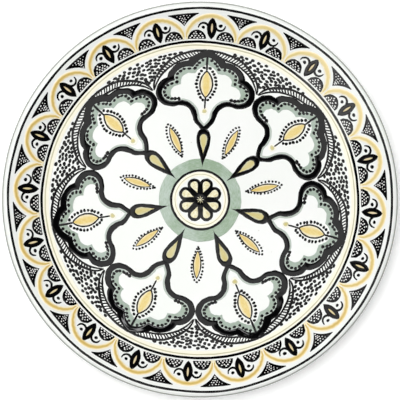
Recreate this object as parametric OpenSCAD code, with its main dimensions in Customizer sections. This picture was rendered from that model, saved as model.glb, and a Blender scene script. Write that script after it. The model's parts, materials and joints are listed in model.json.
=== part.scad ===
// Hand painted ceramic dinner plate: one fired clay body, a clear glaze, and enamel motifs in
// black, ochre and green laid on the glaze. Origin on the resting plane at the middle of the foot
// ring, +Z up, the first palmette towards +Y. The well holds seven palmettes round a rosette, and
// the rim holds twenty arches.

/* [Plate] */
// Outside diameter over the glazed lip
plate_d = 280; // [230:1:340]
// Width of the flared rim, from the bend to the lip
rim_w = 28.5; // [23:0.1:36]
// Slope of the rim above level, in degrees
rim_slope = 28; // [22:1:34]
// Slope that the shallow dish reaches where the rim bends up, in degrees
dish_slope = 9; // [6:1:11]
// Radius of the shallow curve round the flat floor
dish_r = 140; // [110:1:170]
// Radius of the bend between the dish and the rim
bend_r = 18; // [14:1:24]
// Thickness of the clay
clay_t = 6; // [4.8:0.1:7.4]

/* [Foot] */
// Height of the foot ring, from the resting plane to the underside of the floor
foot_h = 5; // [4.6:0.1:7]
// Width of the foot ring where it joins the floor
foot_w = 6; // [5:0.1:9]
// Set-back of the foot ring from the edge of the flat floor
foot_inset = 4; // [1:0.1:8]
// Round-off on each edge of the foot ring's bearing face
foot_edge = 1.5; // [0.8:0.1:1.8]
// Height of the bare clay left under the glaze on the foot ring
bare_h = 1.5; // [1:0.1:2.5]

/* [Coats] */
// Thickness of the clear glaze
glaze_t = 0.35; // [0.2:0.01:0.6]
// Height of a full enamel stroke above the glaze
paint_t = 0.25; // [0.15:0.01:0.4]
// Height of a thin enamel wash above the glaze
wash_t = 0.12; // [0.08:0.01:0.14]

/* [Pattern] */
// Number of palmettes in the well
palmette_count = 7; // [5:1:7]
// Number of arches on the rim
arch_count = 20; // [18:1:22]
// Turn of the rim's arches against the palmettes, in degrees
rim_turn = -1.25; // [-9:0.25:9]
// Number of petals in the rosette
petal_count = 8; // [6:1:8]
// Turn of the rosette against the palmettes, in degrees
rosette_turn = 2.85; // [-20:0.15:20]
// Width of the two black circles that frame the rim
line_w = 1.1; // [0.7:0.1:1.6]
// Width of the thin brush lines round the almonds
fine_w = 0.85; // [0.6:0.05:1.1]
// Radius of a brush dot in the well
dot_r = 0.8; // [0.5:0.05:1]

/* [Hidden] */

black = [0.07, 0.07, 0.08];
ochre = [0.84, 0.70, 0.36];
pale_ochre = [0.93, 0.87, 0.66];
green = [0.66, 0.74, 0.66];

dish_steps = 4;
bend_steps = 3;
crest_steps = 3;
lip_steps = 8;
curve_steps = 5;

// The clay's section: flat floor, shallow dish, bend, straight rim, round lip
plate_r = plate_d / 2;
lip_r = clay_t / 2;
floor_z = foot_h + clay_t;
rim_in_r = plate_r - rim_w;
dish_end_r = rim_in_r - bend_r * (sin(rim_slope) - sin(dish_slope));
floor_r = dish_end_r - dish_r * sin(dish_slope);
dish_c = [floor_r, floor_z + dish_r];
bend_c = dish_c + (dish_r - bend_r) * [sin(dish_slope), -cos(dish_slope)];
bend_end = bend_c + bend_r * [sin(rim_slope), -cos(rim_slope)];
lip_c_r = plate_r - glaze_t - lip_r;
rim_run = (lip_c_r - lip_r * sin(rim_slope) - bend_end[0]) / cos(rim_slope);
rim_end = bend_end + rim_run * [cos(rim_slope), sin(rim_slope)];
lip_c = rim_end + lip_r * [sin(rim_slope), -cos(rim_slope)];
foot_out_r = floor_r - foot_inset;
foot_in_r = foot_out_r - foot_w;
foot_taper = 0.6;

// Places of the pattern's rings, in the plate's own radii
well_line_r = rim_in_r + 0.4;
rim_line_r = lip_c_r - 1;
well_s = well_line_r / 111.9;
arch_v = (rim_line_r - well_line_r) / 23.7;
arch_u = (well_line_r + rim_line_r) / 247.5 * 20 / arch_count;
film_cut = 1;

// Where the grey green line runs round the lip, in degrees outwards from straight up
lip_span = [46, 64];
// The cream band's two edges, inwards from the edge of the well's black circle
cream_span = [4.4, 0.7];

// The rim's motifs, in the arch's own frame
arch_v0 = 0.6;
arch_bend = 17.85;
arch_margin = 2.05;
arch_base = 0.9;
leaf_shape = [10.1, 7.5, 3.15];
slot_shape = [10.2, 3.4, 1];
eye_places = [[6, 12.05], [-6, 10]];
eye_r = 1;
dome_turn = 4.97;
dome_v = 2.2;
dome_r = 6.4;

// The rows of dots between the palmettes
dot_rows = 10;
row_gap = 1.85;
dot_pitch = 3.2;
top_row_v = 104.6;

// The almonds: middle, half their length and half their width
palmette_almond = [82.1, 9.8, 4.8];
petal_almond = [46, 10.3, 2.9];
petal_dot_r = 0.65;
bud = [63.1, 1.5];

// The teardrops: tip, round end and half their width
drop = [23.7, 50.6, 4.9];
drop_heart = [32.8, 46.8, 2.75];
rosette_petal = [2.2, 15.2, 4.35];
rosette_heart = [5, 13.5, 2.75];

// The middle's circles
green_r = 29.3;
medallion_r = 20.6;
medallion_half = 0.75;
cream_in_r = 16.4;
rosette_core_r = 6.5;
rosette_eye_r = 2.4;
eye_hole_r = 0.4;

// Points of the plate's upper surface pushed out by o along its own normal, from the middle out
function upper(o) = concat(
  [[0, floor_z + o]],
  [for (i = [0:dish_steps]) let (a = dish_slope * i / dish_steps)
    dish_c + (dish_r - o) * [sin(a), -cos(a)]],
  [for (i = [1:bend_steps]) let (a = dish_slope + (rim_slope - dish_slope) * i / bend_steps)
    bend_c + (bend_r - o) * [sin(a), -cos(a)]]
);

// Points round the lip at radius r, from turn a0 to turn a1 counted outwards from straight up
function lip(r, a0, a1, n) = [for (i = [0:n]) let (a = a0 + (a1 - a0) * i / n)
  lip_c + r * [sin(a), cos(a)]];

function outer_lip(o) = lip(lip_r + o, 180 / lip_steps, 180 - rim_slope, lip_steps - 1);

// Points of the underside at depth o below the clay, from the lip in to the floor's edge
function under(o) = [for (i = [len(upper(0)) - 1:-1:1]) upper(-clay_t - o)[i]];

function rim_top(o) = concat(upper(o), lip(lip_r + o, -rim_slope, 0, crest_steps));

// The part of the upper surface between two radii
function slice(o, r1, r2) = let (p = rim_top(o)) concat(
  [[r1, lookup(r1, p)]],
  [for (q = p) if (q[0] > r1 + 0.01 && q[0] < r2 - 0.01) q],
  [[r2, lookup(r2, p)]]
);

// Slope of the upper surface at radius r, in degrees
function slope_at(r) = let (p = rim_top(glaze_t), h = 0.5)
  atan2(lookup(r + h, p) - lookup(r - h, p), 2 * h);

function flip(p) = [for (i = [len(p) - 1:-1:0]) p[i]];

function mirrored(p) = [for (q = flip(p)) [-q[0], q[1]]];

// Centre of the circle through three points
function centre3(a, b, c) = let (
  d = 2 * (a[0] * (b[1] - c[1]) + b[0] * (c[1] - a[1]) + c[0] * (a[1] - b[1])),
  a2 = a * a, b2 = b * b, c2 = c * c
) [
  (a2 * (b[1] - c[1]) + b2 * (c[1] - a[1]) + c2 * (a[1] - b[1])) / d,
  (a2 * (c[0] - b[0]) + b2 * (a[0] - c[0]) + c2 * (b[0] - a[0])) / d
];

// Points along the arc that starts at a, passes b and ends at c
function arc3(a, b, c, n = curve_steps) = let (
  o = centre3(a, b, c),
  turn = sign(cross(b - a, c - b)),
  t0 = atan2(a[1] - o[1], a[0] - o[0]),
  raw = turn * (atan2(c[1] - o[1], c[0] - o[0]) - t0),
  sweep = turn * (raw > 0 ? raw : raw + 360)
) [for (i = [0:n]) o + norm(a - o) * [cos(t0 + sweep * i / n), sin(t0 + sweep * i / n)]];

// A pointed oval with its tips h above and below v, and half as wide as 2 w
function almond(v, h, w, n = 8) = concat(
  [for (p = arc3([0, v - h], [w, v], [0, v + h], n)) p],
  [for (i = [1:n - 1]) arc3([0, v + h], [-w, v], [0, v - h], n)[i]]
);

// A teardrop from its tip at v0 to its round end at v1, half as wide as 2 w
function teardrop(v0, v1, w, n = 22) = [for (i = [0:n - 1]) let (t = 360 * i / n)
  [w * sin(t) * pow(sin(t / 2), 2) / 0.65, (v0 + v1) / 2 - (v1 - v0) / 2 * cos(t)]];

// A bent stroke of width w carried along the points of an arc with centre o
function stroke(p, o, w) = concat(
  [for (q = p) q + w / 2 * (q - o) / norm(q - o)],
  [for (q = flip(p)) q - w / 2 * (q - o) / norm(q - o)]
);

function arc_stroke(a, b, c, w, n = curve_steps) = stroke(arc3(a, b, c, n), centre3(a, b, c), w);

// The palmette's outlines, right half, from the top down to the waist
outer_half = concat(
  arc3([0, 106.3], [7.3, 104], [13.3, 97.9], 3),
  arc3([13.3, 97.9], [21.8, 94.7], [27.3, 85.6]),
  arc3([27.3, 85.6], [34.7, 75.3], [24, 65.4], 7),
  arc3([16, 66.5], [10.3, 63.6], [7.7, 57], 4),
  arc3([7.7, 57], [5.7, 53.8], [2.4, 50.3], 3)
);
inner_half = concat(
  arc3([0, 101.6], [5.5, 99], [9.8, 93.8], 3),
  arc3([9.8, 93.8], [19.3, 91.6], [22.1, 83.6]),
  arc3([22.1, 83.6], [30.7, 75.3], [22.5, 68.8], 7),
  arc3([15.5, 70.2], [7.9, 66.4], [4.7, 58], 4),
  arc3([4.7, 58], [3, 55.3], [0, 52.6], 3)
);
outer_outline = concat(outer_half, mirrored(outer_half));
inner_outline = concat(inner_half, mirrored(inner_half));
wash_half = concat(
  arc3([1, 101.2], [5.5, 99], [9.8, 93.8], 3),
  arc3([9.8, 93.8], [19.3, 91.6], [22.1, 83.6]),
  arc3([22.1, 83.6], [30.7, 75.3], [22.5, 68.8], 7),
  [[18, 69.7], [17.2, 71.9]],
  arc3([23, 72], [24.2, 77.2], [17.6, 80.9], 4),
  arc3([17.6, 80.9], [15.8, 87.6], [8, 89.4], 4),
  arc3([8, 89.4], [5.8, 92.8], [1, 95.4], 3)
);
rope_ends = [[[0, 106.4], [26.3, 97.6], [36.4, 77]], [[9, 100.9], [25, 94], [36, 76.6]]];
// Stretches of brush dots inside the palmette: start, middle, end and number of dots
dot_runs = [
  [[3.2, 99.1], [6.2, 96.4], [8.6, 92.8], 4],
  [[12.6, 92.6], [19, 90.1], [20.4, 82.7], 6],
  [[24.1, 81.4], [29, 74.5], [19.6, 71.3], 9]
];
// Black stems above and below each palmette's almond, from and to
stem_spans = [[91.6, 102], [64.7, 72.5]];

// A ring of paint of height t on the glaze, between two radii
module paint_ring(r1, r2, t) {
  rotate_extrude() polygon(concat(slice(glaze_t, r1, r2), flip(slice(glaze_t + t, r1, r2))));
}

// Paint of height t on the glaze, in the outline that the children draw
module painted(t, r1, r2) {
  intersection() {
    translate([0, 0, floor_z - film_cut]) linear_extrude(lip_c[1] + lip_r + film_cut) children();
    paint_ring(r1, r2, t);
  }
}

// The same on the flat floor, where it needs no curved film
module floor_painted(t) {
  translate([0, 0, floor_z + glaze_t]) linear_extrude(t) children();
}

module round_well(shift = 0) {
  for (i = [0:palmette_count - 1])
    rotate((i + shift) * 360 / palmette_count) scale([well_s, well_s, 1]) children();
}

module round_rim(shift = 0) {
  for (i = [0:arch_count - 1]) rotate(rim_turn + (i + shift) * 360 / arch_count) children();
}

// A rim motif's own place: u across the arch and v above the well's black circle
module arch_frame() {
  translate([0, well_line_r]) scale([arch_u, arch_v, 1]) children();
}

module fit_circle(p, r) {
  translate(p) circle(r = r, $fn = 48);
}

// A brush dot that stands on the well's surface, up above the glaze, square to the slope there
module well_dot(p, r = dot_r, up = 0) {
  d = norm(p) * well_s;
  rotate(atan2(p[1], p[0])) translate([d, 0, lookup(d, rim_top(glaze_t + up))])
    rotate([0, -slope_at(d), 0]) cylinder(r = r, h = paint_t, $fn = 24);
}

module well_dots(points, shift = 0, r = dot_r, up = 0) {
  for (i = [0:palmette_count - 1], p = points)
    rotate((i + shift) * 360 / palmette_count) well_dot(p, r, up);
}

module clay_body() {
  color([0.82, 0.74, 0.64]) rotate_extrude() polygon(concat(
    rim_top(0),
    outer_lip(0),
    under(0),
    [
      [foot_out_r, foot_h], [foot_out_r - foot_taper, foot_edge], [foot_out_r - foot_edge, 0],
      [foot_in_r + foot_edge, 0], [foot_in_r + foot_taper, foot_edge], [foot_in_r, foot_h],
      [0, foot_h]
    ]
  ));
}

module glaze_coat() {
  bare_r = foot_out_r - foot_taper * (foot_h - bare_h) / (foot_h - foot_edge);
  color([0.97, 0.97, 0.95]) rotate_extrude() polygon(concat(
    rim_top(glaze_t),
    outer_lip(glaze_t),
    under(glaze_t),
    [[foot_out_r + glaze_t, foot_h - glaze_t], [bare_r + glaze_t, bare_h], [bare_r, bare_h]],
    [[foot_out_r, foot_h]],
    flip(under(0)),
    flip(outer_lip(0)),
    flip(rim_top(0))
  ));
}

module foot_well_glaze() {
  bare_r = foot_in_r + foot_taper * (foot_h - bare_h) / (foot_h - foot_edge);
  color([0.96, 0.96, 0.94]) rotate_extrude() polygon([
    [0, foot_h], [foot_in_r, foot_h], [bare_r, bare_h], [bare_r - glaze_t, bare_h],
    [foot_in_r - glaze_t, foot_h - glaze_t], [0, foot_h - glaze_t]
  ]);
}

module lip_line() {
  a0 = lip_span[0];
  a1 = lip_span[1];
  color([0.72, 0.74, 0.7]) rotate_extrude() polygon(concat(
    lip(lip_r + glaze_t, a0, a1, 4), flip(lip(lip_r + glaze_t + wash_t, a0, a1, 4))
  ));
}

module outer_black_line() {
  color(black) paint_ring(rim_line_r - line_w / 2, rim_line_r + line_w / 2, paint_t);
}

module inner_black_line() {
  color(black) paint_ring(well_line_r - line_w / 2, well_line_r + line_w / 2, paint_t);
}

module rim_arches() {
  color(ochre) painted(wash_t, well_line_r + arch_base, rim_line_r - line_w) difference() {
    round_rim() difference() {
      arch_frame() fit_circle([0, arch_v0], arch_bend + arch_margin);
      arch_frame() fit_circle([0, arch_v0], arch_bend - arch_margin);
    }
    round_rim() arch_frame() leaf_outline();
    dome_outlines();
  }
}

// The black triangle between two arches, right half, from its lower tip to the middle of its top
spandrel_half = concat(
  arc3([0, 10.9], [4.8, 16], [10.8, 19.4], 4),
  [[10.8, 19.7], [5.5, 20.15], [0, 20.3]]
);

module spandrels() {
  color(black) painted(paint_t, well_line_r + 1, rim_line_r - 1) round_rim(0.5) arch_frame()
    polygon(concat(spandrel_half, [for (i = [1:len(spandrel_half) - 2]) mirrored(spandrel_half)[i]]));
}

module leaf_outline() {
  polygon(almond(leaf_shape[0], leaf_shape[1], leaf_shape[2], 6));
}

module slot_outline() {
  polygon(almond(slot_shape[0], slot_shape[1], slot_shape[2], 4));
}

// Paint anywhere on the rim, between its two black circles
module rim_painted(t) {
  painted(t, well_line_r + 1, rim_line_r - 1) round_rim() arch_frame() children();
}

module almond_leaves() {
  color(black) rim_painted(paint_t) difference() {
    leaf_outline();
    slot_outline();
  }
}

module almond_slots() {
  color(pale_ochre) rim_painted(wash_t) slot_outline();
}

module tendrils() {
  color(black) rim_painted(paint_t) for (s = [1, -1]) difference() {
    polygon(arc_stroke(
      [s * 2.9, 11 - s * 0.3], [s * 6, 11 - s * 2.4], [s * 9.4, 11 + s * 0.7], fine_w
    ));
    leaf_outline();
  }
}

module rim_dots() {
  color(black) rim_painted(paint_t) for (p = eye_places) translate(p) circle(r = eye_r, $fn = 24);
}

// Two half discs under each arch, their flat sides towards the well
module dome_outlines() {
  for (s = [1, -1]) rotate(s * dome_turn) round_rim() arch_frame()
    polygon(arc3([-dome_r, dome_v], [0, dome_v + dome_r], [dome_r, dome_v], 8));
}

module scale_domes() {
  color(black) painted(paint_t, well_line_r + 1, rim_line_r - 1) dome_outlines();
}

module cream_band() {
  outer_r = well_line_r - line_w / 2;
  color([0.98, 0.97, 0.9])
    paint_ring(outer_r - cream_span[0] * well_s, outer_r - cream_span[1] * well_s, wash_t);
}

function turned(p, a) = [p[0] * cos(a) - p[1] * sin(a), p[0] * sin(a) + p[1] * cos(a)];

// Whether a dot at p clears the outer rope lines of the palmettes on both sides
function clear_of_ropes(p) = let (
  e = rope_ends[0],
  c = centre3(e[0], e[1], e[2]),
  reach = norm(e[0] - c) + fine_w + dot_r
) min([for (s = [1, -1]) norm(p - turned([s * c[0], c[1]], s * 180 / palmette_count))]) > reach;

// Staggered rows of dots that fill the space between two neighbouring rope arcs
field_points = [
  for (k = [0:dot_rows - 1], n = [-9:9])
    let (v = top_row_v - row_gap * k, u = (n + (k % 2) / 2) * dot_pitch, p = [u, sqrt(v * v - u * u)])
      if (clear_of_ropes(p)) p
];

module dot_field() {
  color(black) well_dots(field_points, 0.5);
}

module rope_arcs() {
  color(black) painted(paint_t, 70 * well_s, 106.9 * well_s) round_well() difference() {
    for (s = [1, -1], e = rope_ends) scale([s, 1])
      polygon(arc_stroke(e[0], e[1], e[2], fine_w));
    polygon(outer_outline);
  }
}

module drop_outline() {
  polygon(teardrop(drop[0], drop[1], drop[2]));
}

module drop_heart_outline() {
  polygon(teardrop(drop_heart[0], drop_heart[1], drop_heart[2]));
}

module stems() {
  for (v = stem_spans) translate([-fine_w / 2, v[0]]) square([fine_w, v[1] - v[0]]);
}

module palmette_outlines() {
  color(black) painted(paint_t, 45 * well_s, 106.9 * well_s) round_well() {
    difference() {
      polygon(outer_outline);
      polygon(inner_outline);
      drop_outline();
    }
    stems();
  }
}

module palmette_washes() {
  color(green) painted(wash_t, 65 * well_s, 104 * well_s) round_well()
    for (s = [1, -1]) scale([s, 1]) polygon(wash_half);
}

module palmette_dots() {
  color(black) well_dots([
    for (s = [1, -1], d = dot_runs, p = arc3(d[0], d[1], d[2], d[3] - 1)) [s * p[0], p[1]]
  ], 0, dot_r, wash_t);
}

// The inside of an almond's brush line
module heart_of(a, tip, side) {
  polygon(almond(a[0], a[1] - tip * fine_w, a[2] - side * fine_w));
}

module palmette_almonds() {
  a = palmette_almond;
  color(black) painted(paint_t, 70 * well_s, 93 * well_s) round_well() difference() {
    polygon(almond(a[0], a[1], a[2]));
    heart_of(a, 1.6, 1);
    stems();
  }
}

module palmette_hearts() {
  color(ochre) painted(wash_t, 70 * well_s, 93 * well_s) round_well()
    heart_of(palmette_almond, 1.6, 1);
}

module palmette_almond_dots() {
  color(black) well_dots([
    for (s = [1, -1], p = arc3([1.9, 70.9], [6.9, 82.6], [2.1, 93.5], 10)) [s * p[0], p[1]]
  ]);
}

module palmette_buds() {
  color(pale_ochre) floor_painted(wash_t) round_well() fit_circle([0, bud[0]], bud[1]);
}

module petal_almonds() {
  a = petal_almond;
  color(black) floor_painted(paint_t) round_well(0.5) difference() {
    polygon(almond(a[0], a[1], a[2]));
    heart_of(a, 2, 0.8);
  }
}

module petal_hearts() {
  color(ochre) floor_painted(wash_t) round_well(0.5) heart_of(petal_almond, 2, 0.8);
}

module petal_dots() {
  color(black) well_dots([
    for (s = [1, -1], p = arc3([0.7, 34.3], [4.1, 46.6], [0.9, 57.8], 11)) [s * p[0], p[1]]
  ], 0.5, petal_dot_r);
}

module drops() {
  color(black) floor_painted(paint_t) round_well() difference() {
    drop_outline();
    drop_heart_outline();
  }
}

module drop_hearts() {
  color(pale_ochre) floor_painted(wash_t) round_well() drop_heart_outline();
}

module centre_green() {
  color(green) floor_painted(wash_t) difference() {
    scale([well_s, well_s, 1]) fit_circle([0, 0], green_r);
    scale([well_s, well_s, 1]) fit_circle([0, 0], medallion_r + medallion_half);
    round_well() drop_outline();
  }
}

module centre_ring(r1, r2, t) {
  floor_painted(t) scale([well_s, well_s, 1]) difference() {
    fit_circle([0, 0], r2);
    fit_circle([0, 0], r1);
  }
}

module medallion_line() {
  color(black) centre_ring(medallion_r - medallion_half, medallion_r + medallion_half, paint_t);
}

module medallion_cream() {
  color([0.98, 0.97, 0.9]) centre_ring(cream_in_r, medallion_r - medallion_half, wash_t);
}

module petals(d) {
  for (i = [0:petal_count - 1]) rotate(rosette_turn + (i + 0.5) * 360 / petal_count)
    scale([well_s * 8 / petal_count, well_s, 1]) polygon(teardrop(d[0], d[1], d[2]));
}

module rosette() {
  color(black) floor_painted(paint_t) difference() {
    union() {
      petals(rosette_petal);
      scale([well_s, well_s, 1]) fit_circle([0, 0], rosette_core_r);
    }
    petals(rosette_heart);
    scale([well_s, well_s, 1]) fit_circle([0, 0], rosette_eye_r);
  }
}

module rosette_hearts() {
  color(pale_ochre) floor_painted(wash_t) petals(rosette_heart);
}

module rosette_centre() {
  color(pale_ochre) centre_ring(eye_hole_r, rosette_eye_r, wash_t);
}

clay_body();
glaze_coat();
foot_well_glaze();
lip_line();
outer_black_line();
rim_arches();
spandrels();
almond_leaves();
almond_slots();
tendrils();
rim_dots();
scale_domes();
inner_black_line();
cream_band();
dot_field();
rope_arcs();
palmette_outlines();
palmette_washes();
palmette_dots();
palmette_almonds();
palmette_hearts();
palmette_almond_dots();
palmette_buds();
petal_almonds();
petal_hearts();
petal_dots();
drops();
drop_hearts();
centre_green();
medallion_line();
medallion_cream();
rosette();
rosette_hearts();
rosette_centre();
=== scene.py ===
import json
import math

import bpy
import numpy as np
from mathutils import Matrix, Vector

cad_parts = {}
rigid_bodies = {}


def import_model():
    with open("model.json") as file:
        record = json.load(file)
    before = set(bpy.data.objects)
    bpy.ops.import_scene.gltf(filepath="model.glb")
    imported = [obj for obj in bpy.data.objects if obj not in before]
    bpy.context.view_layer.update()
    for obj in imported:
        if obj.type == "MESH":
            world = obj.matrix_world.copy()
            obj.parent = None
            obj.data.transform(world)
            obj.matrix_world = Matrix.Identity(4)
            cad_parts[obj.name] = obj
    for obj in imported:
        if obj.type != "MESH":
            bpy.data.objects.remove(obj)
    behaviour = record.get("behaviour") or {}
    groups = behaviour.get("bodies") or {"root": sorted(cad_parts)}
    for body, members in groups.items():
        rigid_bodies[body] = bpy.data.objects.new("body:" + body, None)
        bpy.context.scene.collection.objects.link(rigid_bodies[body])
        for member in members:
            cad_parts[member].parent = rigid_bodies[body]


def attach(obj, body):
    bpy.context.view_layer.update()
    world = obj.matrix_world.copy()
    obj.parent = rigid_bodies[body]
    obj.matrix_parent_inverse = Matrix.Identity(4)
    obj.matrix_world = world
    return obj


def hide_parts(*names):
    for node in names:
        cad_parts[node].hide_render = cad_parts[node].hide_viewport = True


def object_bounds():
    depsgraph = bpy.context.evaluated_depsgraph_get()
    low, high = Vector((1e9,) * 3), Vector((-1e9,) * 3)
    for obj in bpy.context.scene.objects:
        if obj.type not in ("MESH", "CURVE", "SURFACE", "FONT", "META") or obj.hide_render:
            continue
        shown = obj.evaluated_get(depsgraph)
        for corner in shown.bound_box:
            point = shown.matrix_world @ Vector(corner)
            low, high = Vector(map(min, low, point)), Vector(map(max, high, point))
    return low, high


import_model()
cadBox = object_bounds()
mm = 0.001
rng = np.random.default_rng(20)  # one seeded source for every hand-made unevenness

# the turned body: its section is the CAD's, in mm
plate = {
    "outerRadius": 139.97,
    "rimWidth": 28.47,
    "rimSlope": 28.0,      # degrees above level
    "dishSlope": 9.0,
    "dishRadius": 140.0,
    "bendRadius": 18.0,
    "clay": 6.0,
    "glaze": 0.35,
    "footHeight": 5.0,
    "footWidth": 6.0,
    "footInset": 4.0,
    "footEdge": 1.5,
    "footTaper": 0.6,
    "bareHeight": 1.5,     # clay left bare above the resting plane
    "segments": 384,
}
# how far a full brush spreads past the edge it follows, in mm
ink = {"wide": 0.19, "fine": 0.2, "dot": 0.27, "leaf": 0.12, "dome": 0.1, "spandrel": 0.12, "tick": 0.1}
# heights of the painted layers above the glaze, and how deep their undersides sink into it, in mm
layer = {"sink": 0.05, "wash": 0.05, "ochre": 0.07, "black": 0.1, "onBlack": 0.06}


def sinD(a):
    # sine of an angle in degrees
    return np.sin(np.radians(a))


def cosD(a):
    # cosine of an angle in degrees
    return np.cos(np.radians(a))


# places along the section, as the CAD works them out
lipR = plate["clay"] / 2
lipX = plate["outerRadius"] - plate["glaze"] - lipR
rimInR = plate["outerRadius"] - plate["rimWidth"]
floorZ = plate["footHeight"] + plate["clay"]
floorR = (rimInR - plate["bendRadius"] * (sinD(plate["rimSlope"]) - sinD(plate["dishSlope"]))
          - plate["dishRadius"] * sinD(plate["dishSlope"]))
dishZ = floorZ + plate["dishRadius"]
bendX = floorR + (plate["dishRadius"] - plate["bendRadius"]) * sinD(plate["dishSlope"])
bendZ = dishZ - (plate["dishRadius"] - plate["bendRadius"]) * cosD(plate["dishSlope"])
flareX = bendX + plate["bendRadius"] * sinD(plate["rimSlope"])
flareZ = bendZ - plate["bendRadius"] * cosD(plate["rimSlope"])
flareRun = (lipX - lipR * sinD(plate["rimSlope"]) - flareX) / cosD(plate["rimSlope"])
lipZ = flareZ + flareRun * sinD(plate["rimSlope"]) + lipR * -cosD(plate["rimSlope"])
wellLineR = rimInR + 0.4
rimLineR = lipX - 1


def glazeTop(r):
    # height of the glazed upper face at radius r: level floor, wide arc, tight arc, straight flare, round lip
    g, slope = plate["glaze"], plate["rimSlope"]
    dishR, bendR = plate["dishRadius"] - g, plate["bendRadius"] - g
    dishArc = dishZ - np.sqrt(np.maximum(dishR ** 2 - (r - floorR) ** 2, 0))
    bendArc = bendZ - np.sqrt(np.maximum(bendR ** 2 - (r - bendX) ** 2, 0))
    flare = flareZ + g / cosD(slope) + (r - flareX) * math.tan(math.radians(slope))
    lipArc = lipZ + np.sqrt(np.maximum((lipR + g) ** 2 - (r - lipX) ** 2, 0))
    ends = [floorR, floorR + dishR * sinD(plate["dishSlope"]), bendX + bendR * sinD(slope),
            lipX - (lipR + g) * sinD(slope)]
    return np.select([r < e for e in ends], [floorZ + g + 0 * r, dishArc, bendArc, flare], lipArc)


def meshFrom(name, verts, polys, uvs=None):
    # verts in mm; polys is a list of index arrays, one for each number of corners, and uvs match them
    # corner by corner
    loops = np.concatenate([p.ravel() for p in polys])
    sizes = np.concatenate([np.full(len(p), p.shape[1]) for p in polys])
    me = bpy.data.meshes.new(name)
    me.vertices.add(len(verts))
    me.vertices.foreach_set("co", (verts * mm).astype(np.float32).ravel())
    me.loops.add(len(loops))
    me.loops.foreach_set("vertex_index", loops.astype(np.int32))
    me.polygons.add(len(sizes))
    me.polygons.foreach_set("loop_start", np.concatenate([[0], np.cumsum(sizes)[:-1]]).astype(np.int32))
    me.polygons.foreach_set("use_smooth", np.ones(len(sizes), bool))
    if uvs is not None:
        brushMap = me.uv_layers.new(name="brushMap")
        corners = np.concatenate([u.reshape(-1, 2) for u in uvs])
        brushMap.data.foreach_set("uv", corners.astype(np.float32).ravel())
    me.update(calc_edges=True)
    return me


def addPiece(name, mesh, material, nodes=()):
    # an object on the root body, with its material slot and the nodes it stands for
    ob = bpy.data.objects.new(name, mesh)
    bpy.context.scene.collection.objects.link(ob)
    mesh.materials.append(material)
    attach(ob, "root")
    if nodes:
        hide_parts(*nodes)


def turned(name, path, closed=False):
    # a path of (radius, height) points carried round the axis; an open path starts and ends on the axis
    path = np.array(path, float)
    n = plate["segments"]
    turn = np.arange(n) * 2 * np.pi / n
    rings = path if closed else path[1:-1]
    m = len(rings)
    x = rings[:, :1] * np.cos(turn)
    y = rings[:, :1] * np.sin(turn)
    z = np.repeat(rings[:, 1:], n, axis=1)
    verts = np.stack([x, y, z], -1).reshape(-1, 3)
    i = np.arange(m if closed else m - 1)[:, None]
    j = np.arange(n)[None]
    a, b = i * n + j, i * n + (j + 1) % n
    c, d = (i + 1) % m * n + (j + 1) % n, (i + 1) % m * n + j
    quads = np.stack([a, d, c, b], -1).reshape(-1, 4)
    polys = [quads]
    if not closed:
        poles = np.array([[0, 0, path[0, 1]], [0, 0, path[-1, 1]]])
        verts = np.concatenate([verts, poles])
        k, nxt = np.arange(n), (np.arange(n) + 1) % n
        first = np.stack([np.full(n, m * n), k, nxt], -1)
        last = np.stack([np.full(n, m * n + 1), (m - 1) * n + nxt, (m - 1) * n + k], -1)
        polys.append(np.concatenate([first, last]))
    # turn the faces over where the solid's signed volume comes out negative
    area = 0.5 * np.sum(path[:, 0] * np.roll(path[:, 1], -1) - np.roll(path[:, 0], -1) * path[:, 1])
    if area > 0:
        polys = [p[:, ::-1] for p in polys]
    return meshFrom(name, verts, polys)


# the painting sits off the plate's middle and sways by up to twice the sway, in mm
painting = {"offset": np.array([0.22, -0.36]), "sway": 0.17}


def handWarp(p):
    # the painter's drift: each point moves by two crossed sine waves of its place, so that neighbouring
    # strokes move alike, and then by the painting's offset
    x, y = p[..., 0], p[..., 1]
    dx = np.sin(x / 13.1 + 0.9 * np.sin(y / 19.0) + 1.3) + np.sin(y / 8.7 + x / 23.0 + 4.1)
    dy = np.sin(y / 12.3 + 0.8 * np.sin(x / 17.0) + 0.4) + np.sin(x / 9.1 - y / 21.0 + 2.2)
    return p + painting["sway"] * np.stack([dx, dy], -1) + painting["offset"]


edgeRoll = 0.09  # share of a flat stroke's width that each rolled edge takes


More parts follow.
